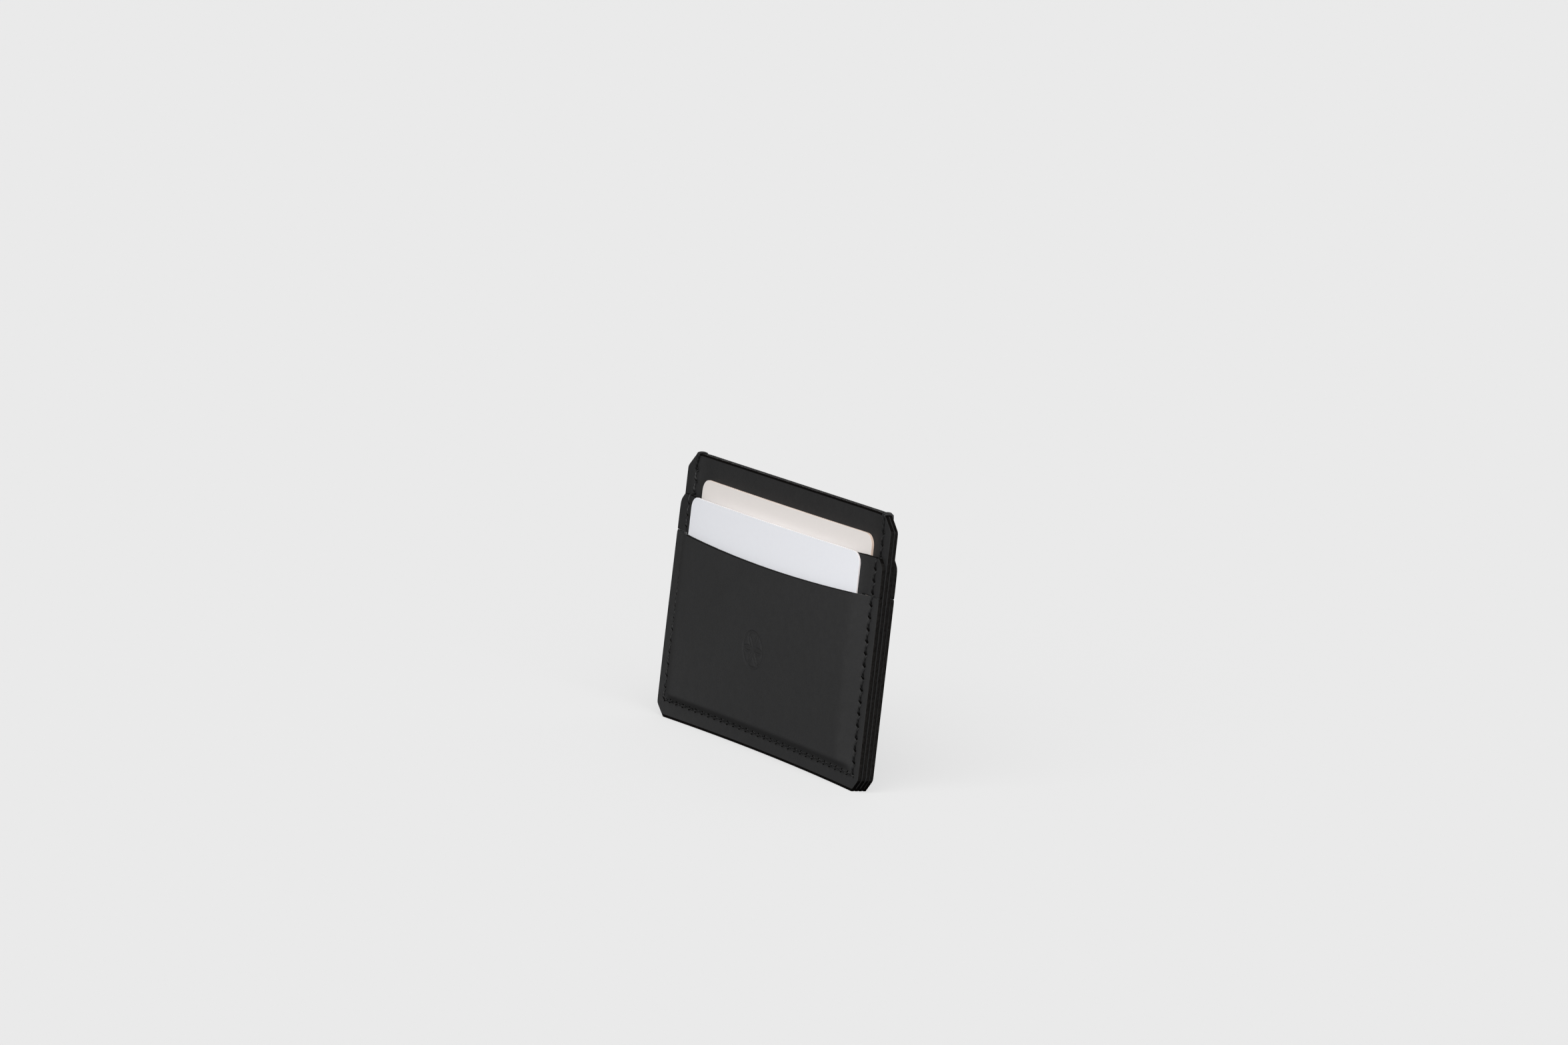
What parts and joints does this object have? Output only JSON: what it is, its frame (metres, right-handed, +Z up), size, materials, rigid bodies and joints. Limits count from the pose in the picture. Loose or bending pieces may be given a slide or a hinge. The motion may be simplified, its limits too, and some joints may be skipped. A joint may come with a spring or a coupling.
{
  "type": "card holder",
  "caption": "Slim sewn leather card holder with stepped pockets and a centre pocket, holding removable flat cards.",
  "frame": {"origin": "under the middle of the holder, on the surface its bottom edge stands on", "axes": "+X along the width, -Y is the front with the visible cards, +Z up towards the pocket mouths"},
  "size_m": [0.103, 0.0088, 0.0725],
  "materials": {
    "leather": "smooth matte black leather with dark burnished edges",
    "thread": "waxed black thread",
    "white_card": "plain cool white card, satin",
    "cream_card": "plain warm cream card, satin"
  },
  "bodies": {
    "holder": {"front_pocket": "leather", "front_t_pocket": "leather", "front_body": "leather", "rear_body": "leather", "rear_t_pocket": "leather", "rear_pocket": "leather", "seam_thread": "thread", "front_t_pocket_thread": "thread", "rear_t_pocket_thread": "thread"},
    "front_card": {"front_card": "white_card"},
    "middle_card": {"middle_card": "cream_card"}
  },
  "joints": [
    {"name": "front_card_slide", "type": "slide", "parent": "holder", "child": "front_card", "axis": [0, 0, 1], "range_m": [0, 0.07]},
    {"name": "middle_card_slide", "type": "slide", "parent": "holder", "child": "middle_card", "axis": [0, 0, 1], "range_m": [0, 0.07]}
  ]
}
